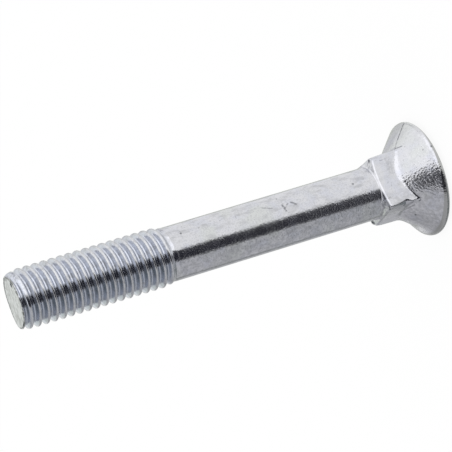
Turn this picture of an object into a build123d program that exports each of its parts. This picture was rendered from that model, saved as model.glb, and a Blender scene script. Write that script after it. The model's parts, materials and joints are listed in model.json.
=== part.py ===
"""Flat countersunk bolt with a short square neck, a reduced shank and a part-length thread.

Millimetres. The bolt stands on its head: the origin is the centre of the head's flat face,
and +Z runs along the shank to the threaded point. The flats of the neck face X and Y.
"""

import os
from math import radians, sqrt, tan

from build123d import *

# Driving dimensions
bolt_length = 90.0
thread_diameter = 11.88
thread_pitch = 1.75
thread_length = 30.0
head_diameter = 23.75
head_angle = 90.0
neck_length = 4.3
neck_step = 0.28

# Head: the rim is a full curve from the flat face out to the edge of the cone
rim_height = 1.5
rim_face_width = 2.2
rim_seat_radius = 0.35

# Square neck: rounded corners, a steep shoulder, and the ramp that the forging left on the +X flat
neck_corner_radius = 0.6
neck_seat_radius = 0.9
shoulder_angle = 68.0
ramp_length = 1.2
ramp_angle = 27.0
ramp_half_turn = 33.0

# Thread blank: the shank is reduced to the pitch diameter, as a rolled thread needs
pitch_depth_share = 0.6495
runout_turns_share = 2.1
point_drop = 0.62
point_length = 2.4

# Worked out from the dimensions above
head_radius = head_diameter / 2
face_radius = head_radius - rim_face_width
land_top = rim_height - rim_seat_radius * tan(radians(head_angle / 4))
thread_radius = thread_diameter / 2
shank_radius = thread_radius - pitch_depth_share * thread_pitch / 2
seat_height = rim_height + (head_radius - shank_radius) / tan(radians(head_angle / 2))
thread_start = bolt_length - thread_length
runout_length = runout_turns_share * thread_pitch

neck_half = shank_radius + neck_step
neck_reach = neck_half * sqrt(2)
shoulder_height = seat_height + neck_length
shoulder_corner_height = shoulder_height - (neck_reach - neck_half) / tan(radians(shoulder_angle))

ramp_end_height = shoulder_height + ramp_length
ramp_foot_height = seat_height + neck_length / 2
ramp_foot_radius = shank_radius + (ramp_end_height - ramp_foot_height) * tan(radians(ramp_angle))


# Square block under the head, ended by a steep conical shoulder
with BuildPart() as neck:
    with BuildSketch(Plane.XY.offset(rim_height)):
        RectangleRounded(2 * neck_half, 2 * neck_half, neck_corner_radius)
    extrude(amount=shoulder_height - rim_height)
    with BuildSketch(Plane.XZ):
        with BuildLine():
            Polyline(
                (0, rim_height),
                (neck_reach, rim_height),
                (neck_reach, shoulder_corner_height),
                (neck_half, shoulder_height),
                (0, shoulder_height),
                close=True,
            )
        make_face()
    revolve(axis=Axis.Z, mode=Mode.INTERSECT)

# Ramp from the flat on the +X side down to the shank: a sector of a cone, cut off by the flat
with BuildPart() as ramp:
    with BuildSketch(Plane.XZ.rotated((0, 0, -ramp_half_turn))):
        with BuildLine():
            Polyline(
                (0, ramp_foot_height),
                (ramp_foot_radius, ramp_foot_height),
                (shank_radius, ramp_end_height),
                (0, ramp_end_height),
                close=True,
            )
        make_face()
    revolve(axis=Axis.Z, revolution_arc=2 * ramp_half_turn)
    with BuildSketch(Plane.XY.offset(ramp_foot_height)):
        RectangleRounded(2 * neck_half, 2 * neck_half, neck_corner_radius)
    extrude(amount=ramp_end_height - ramp_foot_height, mode=Mode.INTERSECT)

# Head, shank and thread blank turned in one, with the neck and its ramp forged on
with BuildPart() as bolt:
    with BuildSketch(Plane.XZ):
        with BuildLine():
            Line((0, 0), (face_radius, 0))
            EllipticalCenterArc((face_radius, land_top), rim_face_width, land_top, start_angle=270, arc_size=90)
            rim_seat = CenterArc((head_radius - rim_seat_radius, land_top), rim_seat_radius, 0, head_angle / 2)
            Polyline(
                rim_seat @ 1,
                (shank_radius, seat_height),
                (shank_radius, thread_start - runout_length),
                (thread_radius, thread_start),
                (thread_radius, bolt_length - point_length),
                (thread_radius - point_drop, bolt_length),
                (0, bolt_length),
                (0, 0),
            )
        make_face()
    revolve(axis=Axis.Z)
    add(neck.part)
    add(ramp.part)
    # Soft blend all round the line where the flats run into the cone
    seat = bolt.faces().filter_by(GeomType.CONE).sort_by(SortBy.AREA)[-1]
    neck_foot = seat.edges().filter_by(lambda edge: edge.geom_type in (GeomType.HYPERBOLA, GeomType.BSPLINE))
    fillet(neck_foot, radius=neck_seat_radius)

bolt.part.label = "bolt"

os.makedirs("parts", exist_ok=True)
export_step(bolt.part, "parts/bolt.step")
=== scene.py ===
"""Countersunk square-neck bolt: fine mesh with its rolled thread, bright zinc finish and studio."""

import json
from math import cos, pi, radians, sin, sqrt, tan
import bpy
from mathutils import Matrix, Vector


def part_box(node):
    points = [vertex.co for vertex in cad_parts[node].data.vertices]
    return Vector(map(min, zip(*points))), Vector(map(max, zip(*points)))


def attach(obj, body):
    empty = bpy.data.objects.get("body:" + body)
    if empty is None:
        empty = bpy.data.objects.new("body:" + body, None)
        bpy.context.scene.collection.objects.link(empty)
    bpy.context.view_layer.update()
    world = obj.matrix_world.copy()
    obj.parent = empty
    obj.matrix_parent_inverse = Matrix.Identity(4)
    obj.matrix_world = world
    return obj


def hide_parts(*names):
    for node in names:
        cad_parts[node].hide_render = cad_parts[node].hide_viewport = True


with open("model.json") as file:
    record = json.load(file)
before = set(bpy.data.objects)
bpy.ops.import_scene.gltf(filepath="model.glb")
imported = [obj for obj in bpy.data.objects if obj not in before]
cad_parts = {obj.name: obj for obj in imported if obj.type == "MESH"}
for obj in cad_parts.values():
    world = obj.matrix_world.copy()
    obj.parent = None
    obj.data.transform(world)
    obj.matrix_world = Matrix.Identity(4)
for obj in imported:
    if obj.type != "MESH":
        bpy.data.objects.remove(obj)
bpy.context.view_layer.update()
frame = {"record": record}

from types import SimpleNamespace

import bmesh
import bpy
import numpy as np
from mathutils import Matrix, Vector

MM = 0.001
TURN = 2 * pi
WHITE = (1.0, 1.0, 1.0, 1)

# Sizes from the frame, in millimetres
low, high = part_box("bolt")
bolt_length = (high[2] - low[2]) / MM
head_radius = (high[0] - low[0]) / 2 / MM
thread_mount = next(mount for mount in frame["record"]["mounts"] if mount["name"] == "thread")
thread_radius = thread_mount["dims"]["r_mm"]

# Directions in the photograph: the bolt lies across it, seen from its threaded end.
# The way up in the photograph is at the angle view_azimuth round the axis, the camera at camera_angle.
view_azimuth = radians(-16.2)
camera_angle = TURN * 3 / 4 + view_azimuth
toward = Vector((sin(view_azimuth), -cos(view_azimuth), 0))
photo_up = Vector((cos(view_azimuth), sin(view_azimuth), 0))
axis = Vector((0, 0, 1))

# Thread: a coarse metric form, rolled, with rounded crests and roots
thread_pitch = 1.75
thread_length = 30.0
thread_phase_share = 0.79
crest_width_share = 0.14
crest_round_share = 0.06
crest_round_samples = 9
root_depth_share = 0.585
flank_slope = tan(radians(60))
# The painted shade along the foot of each flank that faces the head: where it lies and how wide, as shares
# of a pitch
crease_share = 0.62
crease_width_share = 0.035
runout_turns = 1.92
runout_length = runout_turns * thread_pitch
thread_start = bolt_length - thread_length
runout_start = thread_start - runout_length

# Tapered point and sheared end: the end is slanted, bulges on one side and has a chipped edge.
# A chip wave is its number per turn and its phase, and the chips are darkened by painted shade; a ring of
# the end's face is its share and its painted shade, which lies on the face's far side.
point_drop = 0.65
point_drop_swing = 0.05
point_length = 2.6
point_round = 0.12
end_slant = 1.0
end_slant_angle = radians(-81)
end_bulge = 0.3
end_bulge_turn = radians(165)
end_edge_round = 0.22
end_edge_dark = 0.6
end_chips = 0.05
end_chip_waves = ((3, 1), (7, 0), (16, 2), (23, 0))
end_shade_turn = radians(65)
end_face_rings = ((0.98, 0.6), (0.92, 0.5), (0.84, 0), (0.6, 0), (0.3, 0))

# Shank, head and square neck: the solid's sizes, with the wear of the rim and the forging's own slopes
pitch_depth_share = 0.6495
shank_radius = thread_radius - pitch_depth_share * thread_pitch / 2
rim_height = 1.5
rim_wear = 0.1
rim_face_width = 2.8
rim_face_swing = 1.0
rim_seat_radius = 1.0
seat_slope = 1.0
seat_height = rim_height + (head_radius - shank_radius) / seat_slope
neck_step = 0.28
neck_half = shank_radius + neck_step
neck_length = 4.1
shoulder_height = seat_height + neck_length
shoulder_slope = tan(radians(72))
shoulder_round = 0.25
foot_blend = 0.6
edge_bevel = 0.28
edge_bevel_overrun = 0.1
bevel_slope = tan(radians(18))

# The rim's edge and its rounding, which turns by 45 degrees between the cone and the rim
rim_edge_radius = head_radius - rim_wear
rim_edge_height = rim_height + rim_wear / seat_slope
rim_tangent = rim_seat_radius * tan(pi / 8)
rim_top = rim_edge_height + rim_tangent / sqrt(2)
rim_land_top = rim_edge_height - rim_tangent

# Blend of the neck into the cone: wider on the side that is low in the photograph, narrow near the camera
seat_blend = 0.9
low_seat_blend = 1.4
near_seat_cut = 0.6
near_seat_turn = radians(15)
near_seat_power = 12

# The ramp that the forging left at the end of the flat on the +x side: half angles in degrees, by height
ramp_length = 0.95
ramp_end = shoulder_height + ramp_length
ramp_slope = tan(radians(35))
ramp_heights = (11.4, 11.8, 12.5, 13.5)
ramp_half_angles = (44, 36, 28, 22)
ramp_side_angle = radians(16)
ramp_blend = 0.3

# The neck's corners, from +x+y round to +x-y, each as the forging left it
shoulder_drops = (0.7, 0.25, 0.4, 0.7)
tip_radii = (7.2, 7.1, 7.6, 7.2)
tip_heights = (11.55, 12.1, 11.75, 11.55)
tip_slopes = tuple(tan(radians(turn)) for turn in (68, 70, 68, 68))
tip_corner_radius = 0.6
tip_least_reach = 1.0
corner_heights = ((8.9, 11.5), (8.0, 10.5, 11.9), (7.0, 7.7, 8.3, 9.6, 11.0), (8.9, 11.5))
corner_radii = ((0.8, 1.4), (1.2, 1.5, 2.3), (0.1, 0.9, 1.0, 0.5, 0.2), (0.8, 1.4))
flat_crown = 0.25

# Shallow hollows in the cone: one round the neck, fading on the side that is low in the photograph,
# and one halfway down that low side, longer round the cone than along it
neck_hollow_depth = 0.34
neck_hollow_height = 7.3
neck_hollow_reach = 1.3
cone_hollow_depth = 0.4
cone_hollow_height = 3.6
cone_hollow_turn = radians(105)
cone_hollow_reach = 1.0
cone_hollow_stretch = 5

# Mesh fineness
corner_half_angle = radians(9)
corner_columns = 14
flat_columns = 24
rows_per_pitch = 18
end_edge_rings = 4
rim_seat_rings = 6
rim_face_rings = 14
head_face_shares = (0.93, 0.75, 0.5, 0.25)
merge_distance = 1e-7

# Rings below the thread, closest together at the shoulder and on the neck: each zone's lower end and rings
ramp_margin = 0.5
shoulder_margin_above = 0.9
shoulder_margin_below = 1.9
blend_reach_below = 3.4
ring_zones = (
    (ramp_end + ramp_margin, 13),  # shank
    (shoulder_height + shoulder_margin_above, 23),  # ramp
    (shoulder_height - shoulder_margin_below, 63),  # shoulder
    (seat_height - blend_reach_below, 75),  # neck and its blend
    (rim_top, 15),  # cone
)


def smooth_max(a, b, width):
    """The larger of two heights, with the valley between them filled over this width."""
    gap = np.maximum(width - np.abs(a - b), 0) / width
    return np.maximum(a, b) + gap * gap * width / 4


def smooth_min(a, b, width):
    """The smaller of two heights, with the ridge between them rounded over this width."""
    return -smooth_max(-a, -b, width)


def ease(share):
    """A share from 0 to 1, with a smooth start and end."""
    return share * share * (3 - 2 * share)


def column_angles():
    """Angles of the mesh's columns, closer together at the corners of the square neck."""
    angles = []
    for corner in range(4):
        start = pi / 4 + corner * pi / 2 - corner_half_angle
        middle = pi / 4 + corner * pi / 2 + corner_half_angle
        end = pi / 4 + (corner + 1) * pi / 2 - corner_half_angle
        angles += list(np.linspace(start, middle, corner_columns, endpoint=False))
        angles += list(np.linspace(middle, end, flat_columns, endpoint=False))
    return np.array(angles)


def square_reach(angle, half, rounding):
    """Distance from the axis to a rounded square of this half width, at each angle."""
    from_corner = (angle % (pi / 2)) - pi / 4
    to_flat = half / np.cos(pi / 4 - np.abs(from_corner))
    centre = (half - rounding) * sqrt(2)
    inside = np.maximum(rounding ** 2 - (centre * np.sin(from_corner)) ** 2, 0)
    on_arc = centre * np.cos(from_corner) + np.sqrt(inside)
    past = half * np.tan(pi / 4 - np.abs(from_corner)) > half - rounding
    return np.where(past, on_arc, to_flat)


def thread_depth(share):
    """Depth below the crest, in millimetres, at each share of a pitch from the crest's middle."""
    depth = np.zeros_like(share)
    for shift in np.linspace(-crest_round_share, crest_round_share, crest_round_samples):
        from_crest = np.abs((share + shift + 0.5) % 1 - 0.5) * thread_pitch
        slope = flank_slope * (from_crest - crest_width_share * thread_pitch / 2)
        depth += np.clip(slope, 0, root_depth_share * thread_pitch)
    return depth / crest_round_samples


def pitch_share(height, angle):
    """Share of a pitch from the crest's middle towards the point, at each height and angle."""
    return (height / thread_pitch - angle / TURN - thread_phase_share) % 1


def runout_share(height):
    """0 where the run-out begins on the shank, 1 from where the thread is full."""
    return np.clip((height - runout_start) / runout_length, 0, 1)


def thread_surface(height, angle):
    """Radius of the threaded end at each height and angle, with its run-out and tapered point."""
    full = thread_radius - thread_depth(pitch_share(height, angle))
    radius = shank_radius + (full - shank_radius) * ease(runout_share(height))
    drop = point_drop + point_drop_swing * np.cos(angle - view_azimuth)
    taper = thread_radius - drop * np.clip(1 - (bolt_length - height) / point_length, 0, 1)
    return smooth_min(radius, taper, point_round)


def end_height(angle, share):
    """Height of the sheared end, which is neither square nor flat, at a share of its radius."""
    bulge = end_bulge * np.clip(np.cos(angle - view_azimuth - end_bulge_turn), 0, 1) ** 2
    return bolt_length - end_slant / 2 * (1 - share * np.cos(angle - end_slant_angle)) + share * bulge


def groove_share(height, radius):
    """How far into the thread's groove a point lies: 0 on the crests and the shank, 1 at the root."""
    depth = np.clip((thread_radius - radius) / (root_depth_share * thread_pitch), 0, 1)
    return depth * runout_share(height)


def crease_painted_shade(height, angle):
    """How much painted shade lies on the line along the foot of each flank that faces the head, 0 to 1."""
    away = (pitch_share(height, angle) - crease_share) / crease_width_share
    return np.exp(-away ** 2) * runout_share(height)


def corner_tip(height, angle, corner):
    """Radius of the blunt ends of the neck's corners, which stand out past the shoulder."""
    above = height - np.take(tip_heights, corner)
    tip_top = np.take(tip_radii, corner) - above * np.take(tip_slopes, corner)
    reach = np.maximum(tip_top + tip_corner_radius * (sqrt(2) - 1), tip_least_reach)
    return square_reach(angle, reach / sqrt(2), tip_corner_radius)


def flat_ramp(height, angle):
    """Radius of the long ramp at the end of the flat on the +x side, and of the shank away from it."""
    from_middle = np.abs((angle + pi) % TURN - pi)
    half_angle = np.radians(np.interp(height, ramp_heights, ramp_half_angles))
    inside = ease(np.clip((half_angle - from_middle) / ramp_side_angle + 0.5, 0, 1))
    rise = inside * (ramp_end - height) * ramp_slope - (1 - inside) * ramp_blend
    return shank_radius + smooth_max(rise, np.zeros_like(rise), ramp_blend)


def neck_surface(height, angle):
    """Radius of the shank and of the square neck, with its shoulder, corner ends and ramp."""
    corner = (angle // (pi / 2)).astype(int) % 4
    tables = [np.interp(height, heights, radii) for heights, radii in zip(corner_heights, corner_radii)]
    across = np.tan(pi / 4 - np.abs(angle % (pi / 2) - pi / 4))
    crown = np.where(np.cos(angle) < -sqrt(0.5), flat_crown * (1 - across ** 2), 0)
    reach = square_reach(angle, neck_half + crown, np.choose(corner, tables))

    edge = shoulder_height - np.take(shoulder_drops, corner) * across ** 2
    shank = np.full_like(height, shank_radius)
    foot = smooth_max(reach + (edge - height) * shoulder_slope, shank, foot_blend)
    ends = np.maximum(corner_tip(height, angle, corner), flat_ramp(height, angle))
    past_bevel = np.clip(height - edge + edge_bevel, 0, edge_bevel + edge_bevel_overrun)
    bevel = reach - past_bevel * bevel_slope
    return np.maximum(smooth_min(bevel, np.maximum(foot, ends), shoulder_round), shank)


def cone_surface(height, angle):
    """Radius of the head's cone, with its shallow hollows."""
    cone = shank_radius + (seat_height - height) * seat_slope
    hollow_angle = camera_angle - cone_hollow_turn
    aside = np.abs((angle - hollow_angle + pi) % TURN - pi) * cone / cone_hollow_stretch
    away = np.hypot(aside, height - cone_hollow_height) / cone_hollow_reach
    at_neck = (height - neck_hollow_height) / neck_hollow_reach
    neck_hollow = neck_hollow_depth * np.clip(1 + np.cos(angle - view_azimuth), 0, 1)
    return cone - cone_hollow_depth * np.exp(-away ** 2) - neck_hollow * np.exp(-at_neck ** 2)


def seat_blend_width(angle):
    """Width of the blend between the neck and the cone, at each angle."""
    low_side = np.clip(-np.cos(angle - view_azimuth), 0, 1)
    near_side = np.clip(np.cos(angle - camera_angle + near_seat_turn), 0, 1)
    blend = seat_blend + (low_seat_blend - seat_blend) * low_side ** 2
    return blend - near_seat_cut * near_side ** near_seat_power


def lower_surface(height, angle):
    """Radius of the shank, square neck and cone at each height and angle."""
    return smooth_max(neck_surface(height, angle), cone_surface(height, angle), seat_blend_width(angle))


class Skin:
    """A closed skin made of rings, with one point of each ring in every column."""

    def __init__(self, angles):
        self.angles = angles
        self.count = len(angles)
        self.points = []
        self.faces = []
        self.grooves = []
        self.crease_shades = []

    def ring(self, height, radius, groove=0, crease=0):
        """Adds a ring and returns the index of its first point."""
        first = len(self.points)
        every = np.ones(self.count)
        self.points.extend(zip(radius * np.cos(self.angles), radius * np.sin(self.angles), height * every))
        self.grooves.extend(groove * every)
        self.crease_shades.extend(crease * every)
        return first

    def join(self, lower, upper):
        """Adds the faces between two rings."""
        for i in range(self.count):
            j = (i + 1) % self.count
            self.faces.append((lower + i, lower + j, upper + j, upper + i))

    def join_helix(self, rows):
        """Adds the faces between rows whose last column meets the first one a pitch further on."""
        last = len(rows) - 1
        for i in range(last):
            row, above = rows[i], rows[i + 1]
            for j in range(self.count - 1):
                self.faces.append((row + j, row + j + 1, above + j + 1, above + j))
            ahead = rows[min(i + rows_per_pitch, last)]
            further = rows[min(i + 1 + rows_per_pitch, last)]
            self.faces.append((row + self.count - 1, ahead, further, above + self.count - 1))

    def cap(self, ring, height, upward):
        """Closes a ring with a point on the axis."""
        centre = len(self.points)
        self.points.append((0, 0, height))
        self.grooves.append(0)
        self.crease_shades.append(0)
        for i in range(self.count):
            j = (i + 1) % self.count
            first, second = (i, j) if upward else (j, i)
            self.faces.append((ring + first, ring + second, centre))

    def mesh(self, name):
        """The mesh in metres, with the rows merged where they meet at the ends of the thread."""
        mesh = bpy.data.meshes.new(name)
        mesh.from_pydata([tuple(c * MM for c in point) for point in self.points], [], self.faces)
        mesh.attributes.new("groove", "FLOAT", "POINT").data.foreach_set("value", self.grooves)
        # the crease value is painted shade: at the foot of the flanks, in the chips and on the far side of
        # the sheared end
        mesh.attributes.new("crease", "FLOAT", "POINT").data.foreach_set("value", self.crease_shades)
        work = bmesh.new()
        work.from_mesh(mesh)
        bmesh.ops.remove_doubles(work, verts=work.verts, dist=merge_distance)
        work.to_mesh(mesh)
        work.free()
        mesh.shade_smooth()
        return mesh


def add_thread(skin):
    """Rows that follow the helix between the run-out and the sheared end; gives the first and the last."""
    angles = skin.angles
    step = thread_pitch / rows_per_pitch
    top = end_height(angles, 1) - end_edge_round
    # the columns start past angle 0, so the first row lies two steps lower than a pitch below the run-out
    first_base = runout_start - thread_pitch - 2 * step
    rows = []
    for base in np.arange(first_base, bolt_length + step, step):
        height = np.clip(base + thread_pitch * angles / TURN, runout_start, top)
        radius = thread_surface(height, angles)
        rows.append(skin.ring(height, radius, groove_share(height, radius), crease_painted_shade(height, angles)))
    skin.join_helix(rows)
    return rows[0], rows[-1]


def add_sheared_end(skin, last):
    """The rounded, chipped edge and the face of the sheared end."""
    angles = skin.angles
    top = end_height(angles, 1) - end_edge_round
    chips = np.abs(sum(np.sin(waves * angles + phase) for waves, phase in end_chip_waves))
    outer = thread_surface(top, angles) - end_chips * chips
    # the chips of the edge are darkened by painted shade
    for turn in np.linspace(0, pi / 2, end_edge_rings + 1)[1:]:
        inset = end_edge_round * (1 - cos(turn))
        ring = skin.ring(top + end_edge_round * sin(turn), outer - inset, 0, end_edge_dark * chips)
        skin.join(last, ring)
        last = ring
    # painted shade on the far side of the end's face
    far_side = np.clip(np.cos(angles - view_azimuth - end_shade_turn), 0, 1)
    for share, dark in end_face_rings:
        ring = skin.ring(end_height(angles, share), (outer - end_edge_round) * share, 0, dark * far_side)
        skin.join(last, ring)
        last = ring
    skin.cap(last, float(end_height(0, 0)), upward=True)


def add_shank_and_cone(skin, upper):
    """Rings from the run-out down to the rim; gives the last one."""
    start = runout_start
    for end, rings in ring_zones:
        for height in np.linspace(start, end, rings + 1)[1:]:
            level = np.full(skin.count, height)
            ring = skin.ring(level, lower_surface(level, skin.angles))
            skin.join(ring, upper)
            upper = ring
        start = end
    return upper


def add_rim_and_face(skin, upper):
    """The rounded rim, with a wider curve on the side that is up in the photograph, and the flat face."""
    seat_centre = rim_edge_radius - rim_seat_radius
    profile = [
        (seat_centre + rim_seat_radius * cos(turn), rim_land_top + rim_seat_radius * sin(turn))
        for turn in np.linspace(pi / 4, 0, rim_seat_rings + 1)[1:]
    ]
    face_width = rim_face_width + rim_face_swing * np.cos(skin.angles - view_azimuth)
    face_radius = rim_edge_radius - face_width
    profile += [
        (face_radius + face_width * cos(turn), rim_land_top * (1 - sin(turn)))
        for turn in np.linspace(0, pi / 2, rim_face_rings + 1)[1:]
    ]
    profile += [(face_radius * share, 0) for share in head_face_shares]
    for radius, height in profile:
        ring = skin.ring(height, radius)
        skin.join(ring, upper)
        upper = ring
    skin.cap(upper, 0, upward=False)


def bolt_mesh():
    """One closed skin: helical rows on the thread, then rings down the shank, neck and head."""
    skin = Skin(column_angles())
    first, last = add_thread(skin)
    add_sheared_end(skin, last)
    upper = add_shank_and_cone(skin, first)
    add_rim_and_face(skin, upper)
    return skin.mesh("bolt_skin")


def feed(tree, socket, value):
    """Links an output to this input, or sets the input to this value."""
    if isinstance(value, bpy.types.NodeSocket):
        tree.links.new(value, socket)
    else:
        socket.default_value = value


def calc(tree, operation, *values):
    """The result of a math node."""
    node = tree.nodes.new("ShaderNodeMath")
    node.operation = operation
    for socket, value in zip(node.inputs, values):
        feed(tree, socket, value)
    return node.outputs[0]


def vector_calc(tree, operation, first, second):
    """The result of a vector math node, a number or a vector."""
    node = tree.nodes.new("ShaderNodeVectorMath")
    node.operation = operation
    feed(tree, node.inputs[0], first)
    feed(tree, node.inputs[1], second)
    return node.outputs["Value" if operation in ("DOT_PRODUCT", "DISTANCE") else "Vector"]


def along(tree, place, way):
    """How far a place lies along a direction."""
    return vector_calc(tree, "DOT_PRODUCT", place, way)


def fade(tree, value, start, end, low_value=0.0, high_value=1.0):
    """Goes smoothly from the low value at start to the high value at end."""
    node = tree.nodes.new("ShaderNodeMapRange")
    node.interpolation_type = "SMOOTHSTEP"
    given = {"Value": value, "From Min": start, "From Max": end, "To Min": low_value, "To Max": high_value}
    for name, number in given.items():
        feed(tree, node.inputs[name], number)
    return node.outputs["Result"]


def blend_colour(tree, share, first, second):
    """The first colour where the share is 0, the second where it is 1."""
    node = tree.nodes.new("ShaderNodeMix")
    node.data_type = "RGBA"
    # the node has sockets for numbers and vectors too: these are the ones for colours
    for socket, value in zip((node.inputs[0], node.inputs[6], node.inputs[7]), (share, first, second)):
        feed(tree, socket, value)
    return node.outputs[2]


def noise(tree, place, scale, octaves, roughness=0.5):
    """A noise of this many cells to a metre and octaves, about 0.5 on average."""
    node = tree.nodes.new("ShaderNodeTexNoise")
    node.inputs["Scale"].default_value = scale
    node.inputs["Detail"].default_value = octaves
    node.inputs["Roughness"].default_value = roughness
    tree.links.new(place, node.inputs["Vector"])
    return node.outputs["Fac"]


def mesh_value(tree, name):
    """A value that the mesh carries at each of its points."""
    node = tree.nodes.new("ShaderNodeAttribute")
    node.attribute_name = name
    return node.outputs["Fac"]


def z_of(tree, vector):
    """The part of a vector along the bolt."""
    node = tree.nodes.new("ShaderNodeSeparateXYZ")
    tree.links.new(vector, node.inputs[0])
    return node.outputs["Z"]


# Zinc finish: colours
zinc_colour = (0.690, 0.694, 0.724, 1)
zinc_cool = (0.640, 0.653, 0.711, 1)
zinc_green = (0.655, 0.671, 0.668, 1)
crest_colour = (0.655, 0.665, 0.685, 1)
groove_colour = (0.660, 0.690, 0.770, 1)
# painted shade: the groove's tint on the side low in the photograph, away from the light
groove_shaded_colour = (0.550, 0.590, 0.668, 1)
# painted shade, for the foot of the thread's flanks and the chipped and far edges of the sheared end
crease_painted_shade_colour = (0.22, 0.23, 0.21, 1)
grain_dark = (0.44, 0.445, 0.465, 1)
end_dark = (0.37, 0.38, 0.38, 1)
# the rim's band: the dull sheared rim, with painted shade of the shadowed floor it mirrors at its foot
rim_dull_and_shade = (0.445, 0.45, 0.445, 1)
speck_colour = (0.30, 0.305, 0.32, 1)
# dark of the marks, and of the painted shade in creases, at the neck's foot and on the sheared end
mark_colour = (0.13, 0.135, 0.15, 1)

# Zinc finish: noises, as cells to a metre, octaves and any roughness of their own,
# and the range of each in which its tint or shade comes in
mottle_noise = (420, 3)
mottle_range = (0.42, 0.66)
cloud_noise = (130, 2)
cloud_range = (0.52, 0.68)
streak_noise = (900, 3)
streak_stretch = (1, 1, 0.4)
streak_range = (0.48, 0.75)
end_streak_range = (0.40, 0.64)
blotch_noise = (1300, 2)
blotch_range = (0.36, 0.64)
grain_noise = (2800, 3, 0.6)
grain_range = (0.42, 0.75)
worn_range = (0.3, 0.52)
speck_noise = (1500, 1)
speck_range = (0.70, 0.80)
dull_range = (0.3, 0.7)
dull_roughness = (0.15, 0.20)

# Zinc finish: how strong each shade is at most
shank_streak_share = 0.7
head_streak_share = 0.35
end_streak_share = 0.9
blotch_and_shade_share = 0.6
shank_grain_share = 0.6
head_grain_share = 0.3
speck_share = 0.6
crease_most = 0.85

# Zinc finish: where it changes, by depth in the groove, in millimetres, and by how far up the end faces
groove_range = (0.1, 0.45)
low_side_reach = 3.0
head_fade = 1.5
cone_fade = (seat_height + 0.3, seat_height - 1.0)
end_fade = (bolt_length - 2 * end_slant, bolt_length - 1.5 * end_slant)
end_facing_range = (0.86, 0.95)
rim_dull_and_shade_tilt = 0.055
rim_dull_and_shade_levels = (1.62, 1.47)
head_face_levels = (0.02, 0.2)

# Relief of the finish: its noise, the range of it that stands out as specks, and depths in metres
relief_noise = (2600, 1)
relief_speck_range = (0.52, 0.74)
relief_speck_depth = 0.65e-5
thread_grain_depth = 0.08e-5
grain_depth = 0.9e-5
cone_grain_depth = 5.3e-5

# A mark is at its full strength within this share of its half width
mark_core_share = 0.25

# Marks of handling, and painted shade in creases, at the neck's foot and by the fillet: turn from the camera
# in degrees and height at each end, half width, strength
marks = (
    ("pit on the shank", (-37.1, 54.77), (-37.0, 54.77), 0.36, 0.85),
    ("scratch", (-39.0, 37.01), (-30.4, 35.22), 0.2, 0.5),
    ("scuff, long arm", (-30.7, 33.03), (-17.1, 32.74), 0.34, 0.75),
    ("scuff, short arm", (-30.4, 31.84), (-22.3, 32.84), 0.24, 0.6),
    ("dash", (-31.4, 31.04), (-24.0, 30.25), 0.32, 0.7),
    ("spot by the neck", (-30.8, 17.21), (-30.7, 17.21), 0.34, 0.8),
    ("specks above", (-54.6, 33.13), (-52.0, 33.23), 0.26, 0.5),
    ("shade by the fillet", (-50.0, 8.35), (-30.0, 8.65), 1.1, 0.2),
    ("notch in the corner's end", (-65.0, 11.69), (-62.0, 11.74), 0.36, 0.85),
    # painted shade in the corner's crease
    ("painted shade in the corner's crease", (-53.0, 10.05), (-53.0, 8.76), 0.2, 0.4),
    ("spot on the far corner", (110.5, 12.2), (114.0, 12.27), 0.6, 1.0),
    # painted shade in the concave foot of the neck
    ("painted shade at the foot", (28.0, 12.29), (62.0, 12.34), 0.5, 0.3),
    ("dark end of the near corner", (30.5, 11.89), (36.0, 11.79), 0.3, 0.8),
    # painted shade in the crease of the low fillet
    ("painted shade in the low fillet's crease", (61.5, 8.28), (40.5, 6.12), 0.26, 0.45),
    ("spot under the near corner", (34.5, 8.56), (34.8, 8.56), 0.3, 0.7),
    ("nick in the near corner's foot", (25.0, 5.92), (25.6, 5.82), 0.28, 0.85),
    ("dark foot of the near corner", (30.5, 5.32), (31.5, 5.42), 0.3, 0.85),
    ("crease on the cone", (-64.8, 5.76), (-55.9, 4.75), 0.2, 0.65),
    ("line on the cone", (-78.0, 1.8), (-71.6, 4.4), 0.28, 0.7),
    ("end of the line on the cone", (-71.6, 4.4), (-66.5, 5.5), 0.18, 0.45),
    ("spot on the cone", (61.0, 5.7), (61.3, 5.7), 0.34, 0.8),
    ("nick in the rim", (-27.5, 1.3), (-27.0, 1.25), 0.36, 0.9),
)

# Pits in the sheared end and its burr: turn from the camera in degrees, radius, drop below the bolt's
# full length, half width, strength
end_pit_depth = 0.1
end_pits = (
    (-50.0, 4.1, 0.1, 0.8, 1.0),
    (-95.0, 4.3, 0.4, 0.35, 0.6),
    (-21.0, 4.5, 0.05, 0.3, 0.8),
    (-69.0, 5.45, 1.21, 0.3, 0.6),
    (-56.0, 5.45, 1.09, 0.35, 0.5),
    (-49.0, 5.45, 0.99, 0.3, 0.5),
    (-61.0, 5.2, 0.34, 0.3, 0.6),
)


def skin_way(turn):
    """Direction from the axis at a turn from the camera, in degrees."""
    return cos(radians(turn)) * toward - sin(radians(turn)) * photo_up


def on_skin(turn, height):
    """Point of the shank, the neck or the cone at a turn from the camera and a height, in metres."""
    way = skin_way(turn)
    angle = np.arctan2(way.y, way.x) % TURN
    radius = float(lower_surface(np.array([height]), np.array([angle]))[0])
    return way * min(radius, head_radius) * MM + axis * height * MM


def stroke(tree, place, start, end, half_width):
    """1 along the line from start to end, falling to 0 at the half width, in metres."""
    line = end - start
    from_start = vector_calc(tree, "SUBTRACT", place, start)
    share = calc(tree, "DIVIDE", along(tree, from_start, line), line.length_squared)
    share = calc(tree, "MINIMUM", calc(tree, "MAXIMUM", share, 0.0), 1.0)
    combine = tree.nodes.new("ShaderNodeCombineXYZ")
    for socket in combine.inputs:
        tree.links.new(share, socket)
    foot = vector_calc(tree, "MULTIPLY", combine.outputs[0], line)
    away = vector_calc(tree, "DISTANCE", from_start, foot)
    return fade(tree, away, half_width, mark_core_share * half_width)


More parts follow.
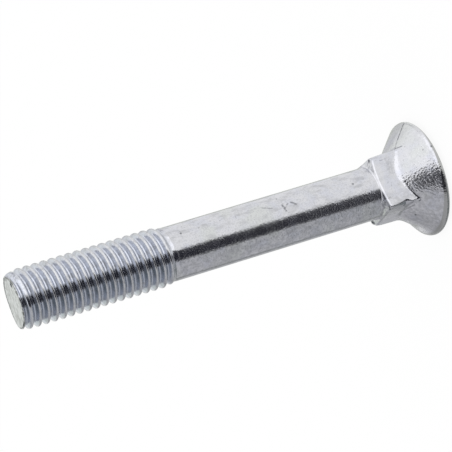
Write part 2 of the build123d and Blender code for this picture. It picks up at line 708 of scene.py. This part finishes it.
def surface_values(tree):
    """What the finish depends on: the place on the bolt, masks from 0 to 1, and noises that are shared."""
    at = SimpleNamespace()
    coordinates = tree.nodes.new("ShaderNodeTexCoord")
    at.place = coordinates.outputs["Object"]
    at.height = z_of(tree, at.place)
    at.upward = along(tree, at.place, photo_up)

    at.thread = fade(tree, at.height, runout_start * MM, thread_start * MM)
    at.off_thread = calc(tree, "SUBTRACT", 1.0, at.thread)
    at.groove = fade(tree, mesh_value(tree, "groove"), *groove_range)
    at.crease = mesh_value(tree, "crease")
    at.low_side = fade(tree, at.upward, 0, -low_side_reach * MM)
    at.head = fade(tree, at.height, (shoulder_height + head_fade) * MM, shoulder_height * MM)
    at.cone = fade(tree, at.height, cone_fade[0] * MM, cone_fade[1] * MM)
    near_end = fade(tree, at.height, end_fade[0] * MM, end_fade[1] * MM)
    facing_up = fade(tree, z_of(tree, coordinates.outputs["Normal"]), *end_facing_range)
    at.end = calc(tree, "MULTIPLY", near_end, facing_up)

    at.mottle = noise(tree, at.place, *mottle_noise)
    at.streaks = noise(tree, vector_calc(tree, "MULTIPLY", at.place, streak_stretch), *streak_noise)
    at.grain = noise(tree, at.place, *grain_noise)
    return at


def plating_colour(tree, at):
    """Clouds of cool and greenish tint, the thread's own tints with painted shade in the groove on the side
    away from the light, then streaks, blotches that are partly painted shade, grain and specks.
    """
    colour = blend_colour(tree, fade(tree, at.mottle, *mottle_range), zinc_colour, zinc_cool)
    cloud = noise(tree, at.place, *cloud_noise)
    colour = blend_colour(tree, fade(tree, cloud, *cloud_range), colour, zinc_green)

    colour = blend_colour(tree, at.thread, colour, crest_colour)
    # painted shade in the groove on the side away from the light
    groove_tint = blend_colour(tree, at.low_side, groove_colour, groove_shaded_colour)
    colour = blend_colour(tree, at.groove, colour, groove_tint)

    streak_share = fade(tree, at.head, 0, 1, shank_streak_share, head_streak_share)
    streak_shade = calc(tree, "MULTIPLY", fade(tree, at.streaks, *streak_range), streak_share)
    colour = blend_colour(tree, streak_shade, colour, grain_dark)

    # blotches only on the side away from the light: random tone, and painted shade of that side
    blotches = fade(tree, noise(tree, at.place, *blotch_noise), *blotch_range)
    blotch_shade = calc(tree, "MULTIPLY", blotches, calc(tree, "MULTIPLY", at.low_side, blotch_and_shade_share))
    colour = blend_colour(tree, calc(tree, "MULTIPLY", blotch_shade, at.off_thread), colour, grain_dark)

    grain_share = fade(tree, at.head, 0, 1, shank_grain_share, head_grain_share)
    grain_shade = calc(tree, "MULTIPLY", fade(tree, at.grain, *grain_range), grain_share)
    colour = blend_colour(tree, grain_shade, colour, grain_dark)

    specks = fade(tree, noise(tree, at.place, *speck_noise), *speck_range, 0.0, speck_share)
    return blend_colour(tree, specks, colour, speck_colour)


def edge_colour(tree, at, colour):
    """Adds the streaks of the sheared end, the painted shade at the foot of the thread's flanks and on the
    end, and the rim's band: dull metal with painted shade of the floor's contact shadow, wider on the side
    away from the light.
    """
    end_streaks = fade(tree, at.streaks, *end_streak_range, 0.0, end_streak_share)
    colour = blend_colour(tree, calc(tree, "MULTIPLY", at.end, end_streaks), colour, end_dark)
    # painted shade at the foot of the flanks and on the sheared end
    colour = blend_colour(tree, calc(tree, "MINIMUM", at.crease, crease_most), colour, crease_painted_shade_colour)

    # the rim's painted shade reaches higher on the side low in the photograph, away from the light
    rim_level = calc(tree, "MULTIPLY_ADD", at.upward, rim_dull_and_shade_tilt, at.height)
    below_seat = fade(tree, rim_level, rim_dull_and_shade_levels[0] * MM, rim_dull_and_shade_levels[1] * MM)
    above_face = fade(tree, at.height, head_face_levels[0] * MM, head_face_levels[1] * MM)
    return blend_colour(tree, calc(tree, "MULTIPLY", below_seat, above_face), colour, rim_dull_and_shade)


def mark_mask(tree, at):
    """The marks of handling, and the painted shade in creases, at the neck's foot, by the fillet and on the
    sheared end, 0 to 1, with edges that the grain breaks up.
    """
    strokes = [(name, on_skin(*start), on_skin(*end), *rest) for name, start, end, *rest in marks]
    for turn, radius, drop, half_width, strength in end_pits:
        pit = skin_way(turn) * radius * MM + axis * (bolt_length - drop) * MM
        strokes.append(("pit in the end", pit, pit - axis * end_pit_depth * MM, half_width, strength))

    # the painted shade of the sheared end's chips and far side is laid in with the marks
    marked = calc(tree, "MULTIPLY", at.end, at.crease)
    for name, start, end, half_width, strength in strokes:
        mask = stroke(tree, at.place, start, end, half_width * MM)
        mask.node.label = name
        marked = calc(tree, "MAXIMUM", marked, calc(tree, "MULTIPLY", mask, strength))
    worn_share = fade(tree, at.grain, *worn_range)
    return calc(tree, "MINIMUM", calc(tree, "MULTIPLY", marked, worn_share), 1.0)


def relief_normal(tree, at):
    """Relief: faint on the rolled thread, a grain with sparse specks on the shank, deeper on the cone."""
    relief = noise(tree, at.place, *relief_noise)
    depth = fade(tree, at.cone, 0, 1, grain_depth, cone_grain_depth)
    shallower = calc(tree, "MULTIPLY", at.thread, grain_depth - thread_grain_depth)
    grain_height = calc(tree, "MULTIPLY", relief, calc(tree, "SUBTRACT", depth, shallower))
    specks = fade(tree, relief, *relief_speck_range, 0.0, relief_speck_depth)
    speck_height = calc(tree, "MULTIPLY", specks, at.off_thread)
    bump = tree.nodes.new("ShaderNodeBump")
    bump.inputs["Distance"].default_value = 1.0
    tree.links.new(calc(tree, "ADD", grain_height, speck_height), bump.inputs["Height"])
    return bump.outputs[0]


def zinc_material():
    """Bright zinc plating: a metal with a fine crystalline grain, bluer in the thread's groove."""
    material = bpy.data.materials.new("bright_zinc")
    material.use_nodes = True
    tree = material.node_tree
    shader = tree.nodes["Principled BSDF"]
    shader.inputs["Metallic"].default_value = 1.0

    at = surface_values(tree)
    colour = edge_colour(tree, at, plating_colour(tree, at))
    marked = mark_mask(tree, at)
    tree.links.new(blend_colour(tree, marked, colour, mark_colour), shader.inputs["Base Color"])
    tree.links.new(blend_colour(tree, marked, WHITE, mark_colour), shader.inputs["Specular Tint"])
    tree.links.new(fade(tree, at.mottle, *dull_range, *dull_roughness), shader.inputs["Roughness"])
    tree.links.new(relief_normal(tree, at), shader.inputs["Normal"])
    return material


def make_bolt():
    """The visible bolt, in place of the solid."""
    bolt = bpy.data.objects.new("bolt_skin", bolt_mesh())
    bpy.context.scene.collection.objects.link(bolt)
    bolt.data.materials.append(zinc_material())
    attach(bolt, "root")
    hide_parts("bolt")


# Camera, from the photograph: it looks down the bolt from the threaded end, and is rolled
view_elevation = radians(21.47)
view_roll = radians(-16.842)
frame_pixels = 452
focal_pixels = 2850.6
pixels_per_mm = 5.1273
aim_right_pixels = -2.851
aim_down_pixels = 11.914
sensor_width = 36
nearest_seen = 0.01
farthest_seen = 10


def make_camera():
    """The camera at the photograph's viewing angle, aimed near the middle of the bolt."""
    forward = -sin(view_elevation) * axis - cos(view_elevation) * toward
    level_right = -cos(view_elevation) * axis + sin(view_elevation) * toward
    level_down = -photo_up
    right = cos(view_roll) * level_right - sin(view_roll) * level_down
    down = sin(view_roll) * level_right + cos(view_roll) * level_down
    distance = focal_pixels / pixels_per_mm * MM
    aim = forward + aim_right_pixels / focal_pixels * right + aim_down_pixels / focal_pixels * down
    place = axis * bolt_length / 2 * MM - distance * aim

    data = bpy.data.cameras.new("camera")
    data.sensor_width = sensor_width
    data.lens = focal_pixels / frame_pixels * sensor_width
    data.clip_start = nearest_seen
    data.clip_end = farthest_seen
    camera = bpy.data.objects.new("camera", data)
    turn = Matrix((right, -down, -forward)).transposed()
    camera.matrix_world = Matrix.Translation(place) @ turn.to_4x4()
    bpy.context.scene.collection.objects.link(camera)
    bpy.context.scene.camera = camera


# Studio: panels that the metal shows, by turn from the camera and lift above the floor, in degrees,
# how soft their edges are, and their light
panels = (
    ("ceiling, left", (-135, -22), (24, 76), 5, (1.13, 1.13, 1.14, 1)),
    ("ceiling, near left", (-85, -24), (50, 76), 5, (1.17, 1.17, 1.18, 1)),
    ("wall behind, left", (-200, -143), (-8, 34), 1, (0.72, 0.72, 0.745, 1)),
    ("wall behind, left high", (-200, -143), (13, 34), 2, (0.93, 0.945, 0.92, 1)),
    ("wall behind, middle left", (-200, -166), (-5, 45), 3, (0.87, 0.895, 0.86, 1)),
    ("ground behind, left", (-200, -150), (-60, -8), 4, (0.62, 0.64, 0.60, 1)),
    ("wall far left, low", (-150, -112), (-9, 8), 3, (0.70, 0.70, 0.72, 1)),
    ("grey ceiling, left", (-200, -140), (46, 76), 4, (0.45, 0.45, 0.47, 1)),
    ("grey wall", (41, 159), (-95, 72), 5, (0.59, 0.59, 0.61, 1)),
    ("grey wall, low", (41, 126), (-60, -26), 4, (0.24, 0.262, 0.266, 1)),
    ("dark corner", (127, 142), (-38, -8), 4, (0.32, 0.33, 0.33, 1)),
    ("grey wall, far", (112, 152), (0, 40), 6, (0.465, 0.465, 0.48, 1)),
    ("wall behind, right", (151, 200), (11, 45), 2, (0.80, 0.83, 0.78, 1)),
    ("wall behind, middle right", (166, 200), (-5, 45), 3, (0.87, 0.895, 0.86, 1)),
    ("ground behind, right", (156, 200), (-60, -8), 4, (0.50, 0.51, 0.50, 1)),
    ("grey ceiling", (110, 178), (48, 76), 4, (0.48, 0.485, 0.50, 1)),
    ("black strip, low", (6, 40), (-95, -30), 5, (0.14, 0.14, 0.15, 1)),
    ("black strip", (-6.5, 40), (-30, 52), 5, (0.025, 0.025, 0.034, 1)),
    ("black strip, high", (-20, 41), (46, 78), 5, (0.08, 0.08, 0.088, 1)),
    ("soft box", (-80, -13), (-6, 46), 4, (1.38, 1.38, 1.40, 1)),
)
floor_half_size = 4.0
floor_glow_share = 0.9


def between(tree, value, limits, soft):
    """1 between two limits, with edges this soft on each side of them."""
    first, last = limits
    start = fade(tree, value, first - soft, first + soft)
    end = fade(tree, value, last - soft, last + soft, 1.0, 0.0)
    return calc(tree, "MULTIPLY", start, end)


def make_world():
    """A white room for the floor, and the panels of the studio for what the metal reflects."""
    world = bpy.data.worlds.new("studio")
    bpy.context.scene.world = world
    world.use_nodes = True
    world.cycles.sampling_method = "NONE"
    tree = world.node_tree
    direction = tree.nodes.new("ShaderNodeTexCoord").outputs["Generated"]
    front = along(tree, direction, toward)
    side = along(tree, direction, -photo_up)
    turn = calc(tree, "DEGREES", calc(tree, "ARCTAN2", side, front))
    lift = calc(tree, "DEGREES", calc(tree, "ARCSINE", along(tree, direction, axis)))
    shade = WHITE
    for name, turns, lifts, soft, colour in panels:
        inside = calc(tree, "MULTIPLY", between(tree, turn, turns, soft), between(tree, lift, lifts, soft))
        shade = blend_colour(tree, inside, shade, colour)
        shade.node.label = name
    is_glossy = tree.nodes.new("ShaderNodeLightPath").outputs["Is Glossy Ray"]
    background = tree.nodes["Background"]
    tree.links.new(blend_colour(tree, is_glossy, WHITE, shade), background.inputs["Color"])
    background.inputs["Strength"].default_value = 1.0


def floor_material():
    """White paper, most of whose light is its own, so that the shadow on it stays faint."""
    material = bpy.data.materials.new("floor_white")
    material.use_nodes = True
    tree = material.node_tree
    tree.nodes.remove(tree.nodes["Principled BSDF"])
    paper = tree.nodes.new("ShaderNodeBsdfDiffuse")
    paper.inputs["Color"].default_value = WHITE
    glow = tree.nodes.new("ShaderNodeEmission")
    both = tree.nodes.new("ShaderNodeMixShader")
    both.inputs[0].default_value = floor_glow_share
    tree.links.new(paper.outputs[0], both.inputs[1])
    tree.links.new(glow.outputs[0], both.inputs[2])
    tree.links.new(both.outputs[0], tree.nodes["Material Output"].inputs["Surface"])
    return material


def make_floor():
    """A plain white floor, which the metal doesn't mirror."""
    size = floor_half_size
    corners = [(-size, -size, 0), (size, -size, 0), (size, size, 0), (-size, size, 0)]
    mesh = bpy.data.meshes.new("floor")
    mesh.from_pydata(corners, [], [(0, 1, 2, 3)])
    floor = bpy.data.objects.new("floor", mesh)
    bpy.context.scene.collection.objects.link(floor)
    mesh.materials.append(floor_material())
    floor.visible_glossy = False
    floor.visible_shadow = False


make_bolt()
make_camera()
make_world()
make_floor()
bpy.context.scene.view_settings.view_transform = "Standard"
